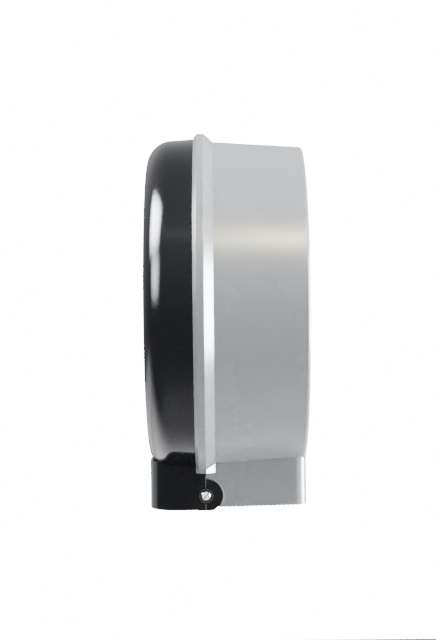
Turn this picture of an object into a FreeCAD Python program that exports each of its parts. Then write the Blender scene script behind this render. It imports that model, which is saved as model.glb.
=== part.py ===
"""Wall-mounted dispenser for a jumbo tissue roll.

A round back housing with a raised rim carries a roll hub on a fixed spindle. A dome-shaped front cover
hinges on two pivot screws in the neck below the drum and swings forward and down. A key lock in the drum's
top turns a cam in front of the cover's catch. Paper leaves through the open neck, past two toothed blades.

Frame: the wall is the plane y = 0, the front faces -Y, +Z is up, and the origin is on the drum's axis.
"Depth" below is the distance forward from the wall, so y = -depth.
"""

import FreeCAD, Part
import Sketcher
import math
import os
from FreeCAD import Rotation, Vector

os.makedirs("parts", exist_ok=True)
doc = FreeCAD.newDocument("dispenser")

# ---------------------------------------------------------------- driving dimensions (mm, degrees)
SIZES = [
    # back housing
    ("drum_radius", 130.3),       # outside, at the wall
    ("draft_rise", 4.8),          # radius gained between the wall and the rim's foot
    ("drum_depth", 72.9),         # wall to the rim's foot
    ("drum_back_round", 3),
    ("wall", 2.5),
    ("back_wall", 3),
    ("rim_rise", 6.8),            # crest of the rim above its foot
    ("rim_slope", 7.2),           # depth of the sloping back of the rim
    ("rim_flat", 6),              # depth of the flat crest
    ("rim_front", 2.3),           # depth of the front chamfer
    ("rim_round", 0.8),
    ("lip", 0.65),                # thickness of the rim's front edge
    ("rim_seat", 3.1),            # width of the ledge that the cover's edge closes against
    ("rim_hold", 1.7),            # how far the lip reaches over the cover's edge
    ("ledge_spare", 0.5),         # ledge showing inside the cover's wall
    ("return_drop", 7.4),         # how far the rim's straight ends hang below the drum
    # neck
    ("neck_half", 48),            # half the width outside
    ("neck_drop", 161.5),         # bottom edge at the seam, below the axis
    ("neck_slope", 1.8),          # how much higher the bottom edge is at the wall
    ("neck_round", 9),
    ("seam_setback", 7.6),        # rim's foot to the seam between housing and cover
    # front cover
    ("cover_gap", 0.65),          # between the cover's dome and the rim's lip
    ("seam_gap", 0.3),
    ("cover_wall", 2.5),
    ("dome_depth", 38.9),         # middle of the front face ahead of the rim's lip
    ("cover_crown", 1.2),         # how much the front face bulges
    ("cover_taper", 2.2),         # radius lost between the cover's edge and its front
    ("cover_round", 21),
    ("chin_setback", 1.7),        # neck's front behind the dome's front
    ("cover_drop", 164),          # bottom edge below the axis
    ("chin_round", 2),
    ("grip_height", 9),
    ("grip_rise", 4),             # grip's middle above the dome's lowest point
    ("grip_half", 12),
    ("grip_proud", 0.8),
    # cover hinge
    ("pivot_drop", 152.3),
    ("ear_radius", 12.8),
    ("ear_gap", 0.9),
    ("lug_thick", 3),
    ("lug_border", 2),
    ("pivot_radius", 2.5),
    ("run_gap", 0.05),            # radial running clearance of every shaft
    ("bush_radius", 5.8),
    ("bush_gap", 0.1),            # axial clearance on either side of the bush's floor
    ("bush_floor", 1.4),
    ("bush_well", 4.5),
    ("bush_proud", 0.4),
    ("head_radius", 3.6),
    ("head_proud", 0.3),
    ("head_bevel", 0.5),
    ("slot_width", 0.8),
    ("slot_depth", 0.7),
    ("slot_angle", 42),
    ("nut_half", 4.5),            # half across the flats of the pivot nuts
    ("nut_thick", 3),
    # tear blades
    ("blade_thick", 1),
    ("blade_height", 12),
    ("blade_start", 6),           # wall to the blade's back end
    ("blade_clear", 1),           # blade's front end to the lug
    ("tooth_pitch", 3.6),
    ("tooth_height", 2.2),
    ("tooth_below", 1.1),         # tips below the neck's edge
    ("rivet_radius", 1.6),
    ("rivet_head", 2.7),
    ("rivet_head_thick", 0.9),
    ("rivet_bite", 1.2),
    ("rivet_end", 8),             # blade's end to the nearest rivet
    ("rivet_height", 9),          # above the neck's lowest edge
    # spindle and hub
    ("boss_radius", 27),
    ("boss_thick", 4),
    ("flange_radius", 24),
    ("flange_thick", 3),
    ("post_radius", 9),
    ("post_end", 86),
    ("fixing_circle", 17),
    ("fixing_radius", 1.6),
    ("fixing_head", 3.2),
    ("fixing_sunk", 1.8),
    ("fixing_below", 0.1),        # head below the flange's face
    ("washer_radius", 15),
    ("washer_thick", 1.2),
    ("end_gap", 0.3),             # axial clearance of the hub and of the plug
    ("hub_wall", 3),
    ("hub_flange", 34),
    ("adapter_radius", 28),
    ("adapter_wall", 2.2),
    ("adapter_bevel", 2),
    ("adapter_setback", 1),       # behind the hub's front end
    ("retainer_radius", 13),
    ("retainer_thick", 3),
    ("retainer_bevel", 1),
    ("retainer_shank", 2.5),
    ("retainer_bite", 12),
    # wall mounting holes
    ("hole_spacing", 120),
    ("hole_radius", 2.75),
    # lock and catch
    ("lock_depth", 62),
    ("lock_sunk", 0.5),
    ("lock_head", 10),
    ("lock_head_thick", 2.5),
    ("lock_head_gap", 0.4),
    ("lock_bevel", 0.6),
    ("lock_body", 8.9),
    ("lock_boss", 14),
    ("lock_boss_thick", 6.7),
    ("lock_nut_thick", 2.8),
    ("lock_nut_half", 11.5),
    ("lock_tail", 1.8),           # barrel below its nut
    ("plug_radius", 5.95),
    ("plug_sunk", 0.2),
    ("key_width", 1.8),
    ("key_height", 7),
    ("key_depth", 3),
    ("stub_radius", 3.5),
    ("cam_thick", 2),
    ("cam_half", 5),
    ("cam_reach", 16),
    ("cam_tail", 1.5),
    ("cam_round", 3),
    ("cam_screw_head", 4.5),
    ("cam_screw_bite", 6),
    ("screw_radius", 1.5),
    ("screw_head", 3.5),
    ("screw_head_thick", 1.8),
    ("screw_head_taper", 0.8),
    ("catch_thick", 2.5),
    ("catch_start", 10),          # free end of the catch's hook, from the middle
    ("catch_inner", 18),
    ("catch_outer", 30),
    ("catch_hook", 2.6),
    ("catch_gap", 0.4),
    ("catch_bite", 7),            # screws into the cover's pad
    ("pad_setback", 3.7),         # the cover's screw pad ahead of the rim's lip
    ("pad_length", 16),
]

sheet = doc.addObject("Spreadsheet::Sheet", "dims")
for row, (alias, value) in enumerate(SIZES, start=1):
    sheet.set(f"A{row}", alias)
    sheet.set(f"B{row}", str(value))
    sheet.setAlias(f"B{row}", alias)
doc.recompute()


def size(alias):
    """Value of one driving dimension, for the shapes built in code."""
    return float(sheet.get(alias))


def lip_depth():
    """Wall to the rim's front edge, as a number."""
    return sum(size(part) for part in ("drum_depth", "rim_slope", "rim_flat", "rim_front"))


# ---------------------------------------------------------------- places worked out from the dimensions
FOOT_R = "(dims.drum_radius + dims.draft_rise)"
CREST_R = f"({FOOT_R} + dims.rim_rise)"
CREST_D = "(dims.drum_depth + dims.rim_slope)"
CREST_END = f"({CREST_D} + dims.rim_flat)"
LIP_D = f"({CREST_END} + dims.rim_front)"
LIP_R = f"({CREST_R} - dims.rim_seat)"
COVER_R = f"({LIP_R} - dims.lip - dims.cover_gap)"
LEDGE_D = f"({LIP_D} - dims.rim_hold)"
LEDGE_R = f"({COVER_R} - dims.cover_wall - dims.ledge_spare)"
COVER_EDGE = f"({LEDGE_D} + dims.seam_gap)"
SEAM_D = "(dims.drum_depth + dims.seam_setback)"
COVER_D = f"({LIP_D} + dims.dome_depth)"
CHIN_D = f"({COVER_D} - dims.chin_setback)"
PAD_D = f"({LIP_D} + dims.pad_setback)"
PAD_END = f"({PAD_D} + dims.pad_length)"
PIVOT_Y = f"(-{SEAM_D})"
PIVOT_Z = "(-dims.pivot_drop)"
EAR_POCKET = "(dims.ear_radius + dims.ear_gap)"
NECK_IN = "(dims.neck_half - dims.wall)"
LUG_FACE = f"({NECK_IN} - dims.seam_gap)"
LUG_IN = f"({LUG_FACE} - dims.lug_thick)"
BLADE_END = f"(-{SEAM_D} + {EAR_POCKET} + dims.lug_border + dims.blade_clear)"
BOSS_D = "(dims.back_wall + dims.boss_thick)"
FLANGE_D = f"({BOSS_D} + dims.flange_thick)"
HUB_D = f"({FLANGE_D} + dims.washer_thick + dims.end_gap)"
HUB_END = "(dims.post_end - dims.end_gap)"
LOCK_R = "(dims.drum_radius + dims.draft_rise * dims.lock_depth / dims.drum_depth)"
LOCK_TOP = f"({LOCK_R} - dims.lock_sunk)"
LOCK_SEAT = f"({LOCK_TOP} - dims.lock_head_thick)"
PLUG_TOP = f"({LOCK_TOP} - dims.plug_sunk)"
LOCK_BOSS_Z = f"({LOCK_R} - dims.lock_boss_thick)"
BARREL_END = f"({LOCK_BOSS_Z} - dims.lock_nut_thick - dims.lock_tail)"
CAM_TOP = f"({BARREL_END} - dims.end_gap)"
CATCH_TOP = f"({CAM_TOP} - dims.cam_thick / 2 + dims.catch_thick / 2)"
HOOK_D = "(dims.lock_depth - dims.cam_half - dims.catch_gap)"

ALONG = {
    "+Z": Rotation(),
    "+X": Rotation(Vector(0, 1, 0), 90),
    "-X": Rotation(Vector(0, 1, 0), -90),
    "-Y": Rotation(Vector(1, 0, 0), 90),
}


# ---------------------------------------------------------------- small builders
def new_body(label):
    body = doc.addObject("PartDesign::Body", label)
    body.Label = label
    return body


def origin_feature(body, role):
    return next(item for item in body.Origin.OriginFeatures if item.Role == role)


def new_sketch(body, role, start="0"):
    sketch = body.newObject("Sketcher::SketchObject", body.Name + "_sketch")
    sketch.AttachmentSupport = [(origin_feature(body, role), "")]
    sketch.MapMode = "FlatFace"
    sketch.setExpression(".AttachmentOffset.Base.z", start)
    return sketch


def pin_point(sketch, geometry, point, x, y):
    """Hold one point of a sketch at the place that two expressions give."""
    for kind, expression in (("DistanceX", x), ("DistanceY", y)):
        index = sketch.addConstraint(Sketcher.Constraint(kind, -1, 1, geometry, point, 1.0))
        sketch.setExpression(f"Constraints[{index}]", expression)


def add_outline(sketch, corners):
    """Closed outline of straight edges, each corner an (x, y) pair of expressions."""
    count = len(corners)
    ring = [Vector(math.cos(2 * math.pi * i / count), math.sin(2 * math.pi * i / count), 0) * 50
            for i in range(count)]
    for i in range(count):
        sketch.addGeometry(Part.LineSegment(ring[i], ring[(i + 1) % count]))
    for i in range(count):
        sketch.addConstraint(Sketcher.Constraint("Coincident", i, 2, (i + 1) % count, 1))
    for i, (x, y) in enumerate(corners):
        pin_point(sketch, i, 1, x, y)


def add_circle(sketch, x, y, radius):
    index = sketch.addGeometry(Part.Circle(Vector(0, 0, 0), Vector(0, 0, 1), 10))
    pin_point(sketch, index, 3, x, y)
    held = sketch.addConstraint(Sketcher.Constraint("Radius", index, 10.0))
    sketch.setExpression(f"Constraints[{held}]", radius)


def place(thing, along="+Z", x="0", y="0", z="0"):
    """Turn a piece so that its own +Z runs along an axis, and move it to a place given by expressions."""
    thing.Placement = FreeCAD.Placement(Vector(0, 0, 0), ALONG[along])
    for axis, expression in zip("xyz", (x, y, z)):
        thing.setExpression(f".Placement.Base.{axis}", expression)
    return thing


def turned(label, corners, along="+Z", x="0", y="0", z="0"):
    """A turned piece: corners are (radius, height) pairs, spun about the piece's own +Z."""
    body = new_body(label)
    sketch = new_sketch(body, "XZ_Plane")
    add_outline(sketch, corners)
    spin = body.newObject("PartDesign::Revolution", label + "_spin")
    spin.Profile = sketch
    spin.ReferenceAxis = (origin_feature(body, "Z_Axis"), [""])
    spin.Angle = 360
    return place(body, along, x, y, z)


def prism(label, role, corners, start, length):
    """A straight-sided piece: an outline on an origin plane, padded from start by length."""
    body = new_body(label)
    sketch = new_sketch(body, role, start)
    add_outline(sketch, corners)
    pad = body.newObject("PartDesign::Pad", label + "_pad")
    pad.Profile = sketch
    pad.setExpression("Length", length)
    return body


def disc(label, radius, start, length, along, x="0", y="0", z="0"):
    """A round bar: it starts that far along its axis from the place given."""
    body = new_body(label)
    sketch = new_sketch(body, "XY_Plane", start)
    add_circle(sketch, "0", "0", radius)
    pad = body.newObject("PartDesign::Pad", label + "_pad")
    pad.Profile = sketch
    pad.setExpression("Length", length)
    return place(body, along, x, y, z)


def round_edges(body, wanted, radius):
    """Fillet the edges of a body's last feature for which wanted(edge) holds."""
    doc.recompute()
    base = body.Tip
    names = [f"Edge{i}" for i, edge in enumerate(base.Shape.Edges, start=1) if wanted(edge)]
    fillet = body.newObject("PartDesign::Fillet", body.Name + "_round")
    fillet.Base = (base, names)
    fillet.setExpression("Radius", radius)
    return body


def join(label, pieces):
    fused = doc.addObject("Part::MultiFuse", label)
    fused.Label = label
    fused.Shapes = pieces
    fused.Refine = False
    return fused


def take_away(label, base, tools):
    result = doc.addObject("Part::Cut", label)
    result.Label = label
    result.Base = base
    result.Tool = tools[0] if len(tools) == 1 else join(label + "_tools", tools)
    result.Refine = False
    return result


def overlap_of(label, first, second):
    result = doc.addObject("Part::Common", label)
    result.Label = label
    result.Base = first
    result.Tool = second
    return result


def built(label, shape):
    """A node whose shape is worked out in code."""
    feature = doc.addObject("Part::Feature", label)
    feature.Label = label
    feature.Shape = shape
    return feature


def holes_of(label, count):
    """Centres of a row of holes that are already built, so that what fills them follows them."""
    doc.recompute()
    return [doc.getObject(f"{label}_{index}").Placement.Base for index in range(count)]


def is_upright(edge):
    ends = [vertex.Point for vertex in edge.Vertexes]
    return len(ends) == 2 and math.hypot(ends[0].x - ends[1].x, ends[0].y - ends[1].y) < 1e-6


def side_name(side):
    return "right" if side > 0 else "left"


def side_start(side, inner, length):
    """Where a pad along +X starts, so that it covers inner to inner + length on either side."""
    return inner if side > 0 else f"-({inner} + {length})"


SIDES = (1, -1)


# ---------------------------------------------------------------- back housing
def drum_solid():
    """Outside of the drum and its rim, as one solid."""
    body = turned("drum", [
        ("0", "0"),
        ("dims.drum_radius", "0"),
        (FOOT_R, "dims.drum_depth"),
        (CREST_R, CREST_D),
        (CREST_R, CREST_END),
        (LIP_R, LIP_D),
        ("0", LIP_D),
    ], along="-Y")
    round_edges(body, lambda edge: edge.Closed and edge.BoundBox.ZMax < 1e-6, "dims.drum_back_round")
    crest = size("drum_radius") + size("draft_rise") + size("rim_rise")
    return round_edges(body, lambda edge: edge.Closed and abs(edge.BoundBox.XMax - crest) < 1e-3,
                       "dims.rim_round")


def drum_cavity():
    """Inside of the drum: the roll's chamber, the ledge and the clearance around the cover's edge."""
    return turned("drum_cavity", [
        ("0", "dims.back_wall"),
        ("dims.drum_radius - dims.wall", "dims.back_wall"),
        (f"{FOOT_R} - dims.wall", "dims.drum_depth"),
        (LEDGE_R, CREST_D),
        (LEDGE_R, LEDGE_D),
        (f"{COVER_R} + dims.cover_gap", LEDGE_D),
        (f"{COVER_R} + dims.cover_gap", f"{LIP_D} + 5"),
        ("0", f"{LIP_D} + 5"),
    ], along="-Y")


def neck_solid():
    body = prism("neck", "XY_Plane", [
        ("-dims.neck_half", "0"),
        ("dims.neck_half", "0"),
        ("dims.neck_half", f"-{SEAM_D}"),
        ("-dims.neck_half", f"-{SEAM_D}"),
    ], "-dims.neck_drop - 5", "dims.neck_drop - dims.drum_radius / 2")
    return round_edges(body, lambda edge: is_upright(edge) and abs(edge.Vertexes[0].Y) < 1e-6,
                       "dims.neck_round")


def rim_return(side):
    """Straight end of the rim, running down outside the neck's wall."""
    inner = f"{side} * (dims.neck_half - 0.5)"
    crest = f"{side} * (dims.neck_half + dims.rim_rise)"
    edge = f"{side} * (dims.neck_half + dims.rim_rise - dims.rim_seat)"
    return prism(f"return_{side_name(side)}", "XY_Plane", [
        (inner, "-dims.drum_depth"),
        (f"{side} * dims.neck_half", "-dims.drum_depth"),
        (crest, f"-{CREST_D}"),
        (crest, f"-{CREST_END}"),
        (edge, f"-{LIP_D}"),
        (inner, f"-{LIP_D}"),
    ], f"-sqrt({FOOT_R}^2 - dims.neck_half^2) - dims.return_drop", "dims.return_drop + 8")


def back_housing():
    outside = join("housing_outside", [drum_solid(), neck_solid(), rim_return(1), rim_return(-1)])
    neck_cavity = prism("neck_cavity", "XY_Plane", [
        (f"-{NECK_IN}", "-dims.back_wall"),
        (NECK_IN, "-dims.back_wall"),
        (NECK_IN, f"-{LIP_D} - 5"),
        (f"-{NECK_IN}", f"-{LIP_D} - 5"),
    ], "-dims.neck_drop - 10", "dims.neck_drop - dims.drum_radius / 2")
    cover_space = prism("cover_space", "XY_Plane", [
        ("-dims.neck_half - dims.seam_gap", f"-{SEAM_D}"),
        ("dims.neck_half + dims.seam_gap", f"-{SEAM_D}"),
        ("dims.neck_half + dims.seam_gap", f"-{LIP_D} - 5"),
        ("-dims.neck_half - dims.seam_gap", f"-{LIP_D} - 5"),
    ], "-dims.neck_drop - 10", "dims.neck_drop - dims.drum_radius / 2")
    shell = take_away("housing_shell", outside, [drum_cavity(), neck_cavity, cover_space])

    inside = [disc("spindle_boss", "dims.boss_radius", "dims.back_wall - 1", "dims.boss_thick + 1", "-Y")]
    lock_bar = disc("lock_bar", "dims.lock_boss", LOCK_BOSS_Z, "dims.lock_boss_thick + 10", "+Z",
                    y="-dims.lock_depth")
    drum_again = doc.getObject("drum")
    inside.append(overlap_of("lock_boss_solid", lock_bar, drum_again))
    for side in SIDES:
        inside.append(disc(f"lug_{side_name(side)}", f"{EAR_POCKET} + dims.lug_border", LUG_IN,
                           f"{NECK_IN} - {LUG_IN}", "+X" if side > 0 else "-X", y=PIVOT_Y, z=PIVOT_Z))
    whole = join("housing_whole", [shell] + inside)

    cuts = [prism("neck_underside", "YZ_Plane", [
        ("10", "-dims.neck_drop - 40"),
        ("10", "-dims.neck_drop + dims.neck_slope * (1 + 10 / " + SEAM_D + ")"),
        (f"-{SEAM_D} * 2", "-dims.neck_drop - dims.neck_slope"),
        (f"-{SEAM_D} * 2", "-dims.neck_drop - 40"),
    ], "-dims.neck_half * 2", "dims.neck_half * 4")]
    for side in SIDES:
        along = "+X" if side > 0 else "-X"
        name = side_name(side)
        cuts.append(disc(f"ear_pocket_{name}", EAR_POCKET, LUG_FACE, "dims.wall * 2", along,
                         y=PIVOT_Y, z=PIVOT_Z))
        cuts.append(disc(f"pivot_hole_{name}", "dims.pivot_radius", f"{LUG_IN} - 1", "dims.lug_thick + 2",
                         along, y=PIVOT_Y, z=PIVOT_Z))
        start = side_start(side, LUG_FACE, "dims.wall * 2")
        cuts.append(prism(f"lug_trim_{name}", "YZ_Plane", [
            (f"-{SEAM_D}", f"{PIVOT_Z} - 30"),
            (f"-{SEAM_D}", f"{PIVOT_Z} + {EAR_POCKET} + dims.lug_border + 1"),
            (f"-{SEAM_D} - 30", f"{PIVOT_Z} + {EAR_POCKET} + dims.lug_border + 1"),
            (f"-{SEAM_D} - 30", f"{PIVOT_Z} - 30"),
        ], start, "dims.wall * 2"))
        for index, (y, z) in enumerate(rivet_places()):
            cuts.append(disc(f"rivet_hole_{name}_{index}", "dims.rivet_radius", f"{NECK_IN} - 1",
                             "dims.rivet_bite + 1", along, y=y, z=z))
    for index, (x, z) in enumerate([(1, 1), (1, -1), (-1, 1), (-1, -1)]):
        cuts.append(disc(f"wall_hole_{index}", "dims.hole_radius", "-1", "dims.back_wall + 2", "-Y",
                         x=f"{x} * dims.hole_spacing / 2", z=f"{z} * dims.hole_spacing / 2"))
    for index, (x, z) in enumerate(fixing_places()):
        cuts.append(disc(f"fixing_hole_{index}", "dims.fixing_radius", "dims.back_wall / 2",
                         f"{BOSS_D}", "-Y", x=x, z=z))
    cuts.append(disc("lock_hole", "dims.lock_body", f"{LOCK_BOSS_Z} - 1", "dims.lock_boss_thick + 5", "+Z",
                     y="-dims.lock_depth"))
    cuts.append(disc("lock_recess", "dims.lock_head + dims.lock_head_gap", LOCK_SEAT,
                     "dims.lock_head_thick + 5", "+Z", y="-dims.lock_depth"))
    return take_away("back_housing", whole, cuts)


# ---------------------------------------------------------------- tear blades and their rivets
def rivet_places():
    """Rivet centres (y, z), one near each end of a blade."""
    low = "-dims.neck_drop + dims.rivet_height"
    return [("-dims.blade_start - dims.rivet_end", low), (f"{BLADE_END} + dims.rivet_end", low)]


def blade(side):
    """Toothed strip on the inner face of the neck's side wall, its tips below the wall's edge."""
    back = size("blade_start")
    seam = size("drum_depth") + size("seam_setback")
    front = seam - size("ear_radius") - size("ear_gap") - size("lug_border") - size("blade_clear")
    pitch = size("tooth_pitch")
    teeth = int((front - back) / pitch)
    front = back + teeth * pitch

    def edge_height(depth):
        return -size("neck_drop") + size("neck_slope") * (1 - depth / seam)

    inner = size("neck_half") - size("wall") - size("blade_thick")
    x = inner if side > 0 else -inner - size("blade_thick")
    top = -size("neck_drop") + size("blade_height")
    outline = [Vector(x, -back, top), Vector(x, -front, top)]
    for tooth in range(teeth, 0, -1):
        root = back + tooth * pitch
        tip = root - pitch / 2
        outline.append(Vector(x, -root, edge_height(root) - size("tooth_below") + size("tooth_height")))
        outline.append(Vector(x, -tip, edge_height(tip) - size("tooth_below")))
    outline.append(Vector(x, -back, edge_height(back) - size("tooth_below") + size("tooth_height")))
    face = Part.Face(Part.makePolygon(outline + outline[:1]))
    strip = face.extrude(Vector(size("blade_thick"), 0, 0))
    for centre in holes_of(f"rivet_hole_{side_name(side)}", 2):
        hole = Part.makeCylinder(size("rivet_radius"), size("blade_thick") + 2,
                                 Vector(x - 1, centre.y, centre.z), Vector(1, 0, 0))
        strip = strip.cut(hole)
    return built(f"tear_blade_{side_name(side)}", strip)


def blade_rivets(side):
    face = size("neck_half") - size("wall") - size("blade_thick")
    solids = []
    for centre in holes_of(f"rivet_hole_{side_name(side)}", 2):
        out = Vector(side, 0, 0)
        seat = Vector(side * face, centre.y, centre.z)
        shank = Part.makeCylinder(size("rivet_radius"), size("blade_thick") + size("rivet_bite"), seat, out)
        head = Part.makeCone(size("rivet_head"), size("rivet_radius"), size("rivet_head_thick"), seat,
                             out * -1)
        solids.append(shank.fuse(head).removeSplitter())
    return built(f"blade_rivets_{side_name(side)}", Part.makeCompound(solids))


# ---------------------------------------------------------------- front cover
def cover_dome(label, inset, behind):
    """Dome of the cover, shrunk by inset, with its open edge moved back by behind."""
    body = new_body(label)
    sketch = new_sketch(body, "XZ_Plane")
    edge_r = f"({COVER_R} - {inset})"
    edge_d = f"({COVER_EDGE} - {behind})"
    front_r = f"({COVER_R} - dims.cover_taper - {inset})"
    front_d = f"({COVER_D} - dims.cover_crown - {inset})"
    crown_r = f"(({front_r}^2 + dims.cover_crown^2) / (2 * dims.cover_crown))"
    reach = size("drum_radius")
    depth = lip_depth() + size("dome_depth")
    bulge = reach * reach / 2
    sketch.addGeometry(Part.LineSegment(Vector(0, depth, 0), Vector(0, depth - 40, 0)))
    sketch.addGeometry(Part.LineSegment(Vector(0, depth - 40, 0), Vector(reach, depth - 40, 0)))
    sketch.addGeometry(Part.LineSegment(Vector(reach, depth - 40, 0), Vector(reach, depth - 1, 0)))
    centre = Vector(0, depth - bulge, 0)
    circle = Part.Circle(centre, Vector(0, 0, 1), bulge)
    start = math.atan2(bulge - 1, reach)
    sketch.addGeometry(Part.ArcOfCircle(circle, start, math.pi / 2))
    for first, first_end, second, second_end in ((0, 2, 1, 1), (1, 2, 2, 1), (2, 2, 3, 1), (3, 2, 0, 1)):
        sketch.addConstraint(Sketcher.Constraint("Coincident", first, first_end, second, second_end))
    sketch.addConstraint(Sketcher.Constraint("PointOnObject", 3, 3, -2))
    pin_point(sketch, 1, 1, "0", edge_d)
    pin_point(sketch, 2, 1, edge_r, edge_d)
    pin_point(sketch, 3, 1, front_r, front_d)
    sketch.addConstraint(Sketcher.Constraint("PointOnObject", 0, 1, -2))
    held = sketch.addConstraint(Sketcher.Constraint("Radius", 3, bulge))
    sketch.setExpression(f"Constraints[{held}]", crown_r)
    spin = body.newObject("PartDesign::Revolution", label + "_spin")
    spin.Profile = sketch
    spin.ReferenceAxis = (origin_feature(body, "Z_Axis"), [""])
    spin.Angle = 360
    place(body, "-Y")
    doc.recompute()
    rings = [edge for edge in body.Tip.Shape.Edges if edge.Closed and edge.BoundBox.XLength > 1]
    shoulder = max(rings, key=lambda edge: edge.BoundBox.Center.z)
    return round_edges(body, lambda edge: edge.isSame(shoulder), f"dims.cover_round - {inset}")


def cover_neck(label, inset, behind, top, bottom):
    body = prism(label, "XY_Plane", [
        (f"-dims.neck_half + {inset}", f"-{SEAM_D} - dims.seam_gap + {behind}"),
        (f"dims.neck_half - {inset}", f"-{SEAM_D} - dims.seam_gap + {behind}"),
        (f"dims.neck_half - {inset}", f"-{CHIN_D} + {inset}"),
        (f"-dims.neck_half + {inset}", f"-{CHIN_D} + {inset}"),
    ], bottom, f"{top} - ({bottom})")
    front = -(lip_depth() + size("dome_depth") - size("chin_setback")) + 4
    return round_edges(body, lambda edge: is_upright(edge) and edge.Vertexes[0].Y < front,
                       f"dims.cover_round - {inset}")


def front_cover():
    shoulder_z = f"(-sqrt(({COVER_R})^2 - dims.neck_half^2) + 4)"
    outer_dome = cover_dome("cover_dome", "0", "0")
    outer_neck = cover_neck("cover_neck", "0", "0", shoulder_z, "-dims.cover_drop")
    low = -size("cover_drop")
    seam = -lip_depth() + size("rim_front")
    round_edges(outer_neck, lambda edge: abs(edge.BoundBox.ZMax - low) < 1e-3 and edge.BoundBox.YMin < seam,
                "dims.chin_round")
    inner_dome = cover_dome("cover_dome_inside", "dims.cover_wall", "3")
    inner_neck = cover_neck("cover_neck_inside", "dims.cover_wall", "3", "-dims.drum_radius / 2",
                            "-dims.cover_drop - 5")
    outside = join("cover_outside", [outer_dome, outer_neck])
    shell = take_away("cover_shell", outside, [inner_dome, inner_neck])

    pad_block = prism("catch_pad_block", "XY_Plane", [
        ("dims.catch_inner", f"-{PAD_D}"),
        ("dims.catch_outer", f"-{PAD_D}"),
        ("dims.catch_outer", f"-{PAD_END}"),
        ("dims.catch_inner", f"-{PAD_END}"),
    ], CATCH_TOP, "30")
    pieces = [shell, overlap_of("catch_pad_solid", pad_block, outer_dome)]
    for side in SIDES:
        name = side_name(side)
        ear = disc(f"ear_{name}", "dims.ear_radius", NECK_IN, "dims.wall", "+X" if side > 0 else "-X",
                   y=PIVOT_Y, z=PIVOT_Z)
        pieces.append(ear)
    pieces.append(prism("finger_grip", "XY_Plane", [
        ("-dims.grip_half", f"-{CHIN_D} + 1"),
        ("dims.grip_half", f"-{CHIN_D} + 1"),
        ("dims.grip_half - 1", f"-{CHIN_D} - dims.grip_proud"),
        ("-dims.grip_half + 1", f"-{CHIN_D} - dims.grip_proud"),
    ], f"-({COVER_R}) - dims.grip_height / 2 + dims.grip_rise", "dims.grip_height"))
    whole = join("cover_whole", pieces)

    cuts = [prism("cover_underside", "XY_Plane", [
        ("-dims.neck_half * 2", "0"),
        ("dims.neck_half * 2", "0"),
        ("dims.neck_half * 2", f"-{COVER_D} * 2"),
        ("-dims.neck_half * 2", f"-{COVER_D} * 2"),
    ], "-dims.cover_drop - 30", "30")]
    for side in SIDES:
        cuts.append(disc(f"bush_hole_{side_name(side)}", "dims.bush_radius", f"{NECK_IN} - 1",
                         "dims.wall + 2", "+X" if side > 0 else "-X", y=PIVOT_Y, z=PIVOT_Z))
    for index, y in enumerate(catch_screw_places()):
        cuts.append(disc(f"catch_hole_{index}", "dims.screw_radius", f"{CATCH_TOP} - 1",
                         "dims.catch_bite + 1", "+Z", x="(dims.catch_inner + dims.catch_outer) / 2", y=y))
    return take_away("front_cover", whole, cuts)


def catch_screw_places():
    return [f"-{PAD_D} - dims.pad_length * 0.25", f"-{PAD_D} - dims.pad_length * 0.75"]


# ---------------------------------------------------------------- hinge hardware
def pivot_bush(side):
    """Ring in the cover's ear: a floor that turns on the screw's shank and a well around its head."""
    name = f"pivot_bush_{side_name(side)}"
    inner = f"({NECK_IN} + dims.bush_gap)"
    floor = f"({inner} + dims.bush_floor)"
    outer = "(dims.neck_half + dims.bush_proud)"
    return turned(name, [
        ("dims.pivot_radius + dims.run_gap", inner),
        ("dims.bush_radius", inner),
        ("dims.bush_radius", outer),
        ("dims.bush_well", outer),
        ("dims.bush_well", floor),
        ("dims.pivot_radius + dims.run_gap", floor),
    ], "+X" if side > 0 else "-X", y=PIVOT_Y, z=PIVOT_Z)


def pivot_screw(side):
    """Slotted screw through the bush and the housing's lug."""
    name = f"pivot_screw_{side_name(side)}"
    under = f"({NECK_IN} + dims.bush_gap * 2 + dims.bush_floor)"
    outer = "(dims.neck_half + dims.bush_proud + dims.head_proud)"
    body = turned(name, [
        ("0", f"{LUG_IN} - dims.nut_thick - 1"),
        ("dims.pivot_radius", f"{LUG_IN} - dims.nut_thick - 1"),
        ("dims.pivot_radius", under),
        ("dims.head_radius", under),
        ("dims.head_radius", f"{outer} - dims.head_bevel"),
        ("dims.head_radius - dims.head_bevel", outer),
        ("0", outer),
    ], "+X" if side > 0 else "-X", y=PIVOT_Y, z=PIVOT_Z)
    cut_slot(body, outer, "dims.head_radius")
    turn = Rotation(Vector(0, 0, 1), -size("slot_angle") if side > 0 else size("slot_angle"))
    body.Placement = FreeCAD.Placement(body.Placement.Base, body.Placement.Rotation.multiply(turn))
    return body


def cut_slot(body, top, reach):
    """Screwdriver slot across a head whose face is at height top."""
    doc.recompute()
    sketch = new_sketch(body, "XY_Plane", top)
    add_outline(sketch, [
        (f"-{reach} - 1", "-dims.slot_width / 2"),
        (f"{reach} + 1", "-dims.slot_width / 2"),
        (f"{reach} + 1", "dims.slot_width / 2"),
        (f"-{reach} - 1", "dims.slot_width / 2"),
    ])
    pocket = body.newObject("PartDesign::Pocket", body.Name + "_slot")
    pocket.Profile = sketch
    pocket.setExpression("Length", "dims.slot_depth")


def hexagon(half):
    """Corners of a hexagon with that distance from its middle to its flats."""
    return [(f"{half} * {round(math.cos(math.radians(60 * i)) / math.cos(math.radians(30)), 6)}",
             f"{half} * {round(math.sin(math.radians(60 * i)) / math.cos(math.radians(30)), 6)}")
            for i in range(6)]


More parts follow.
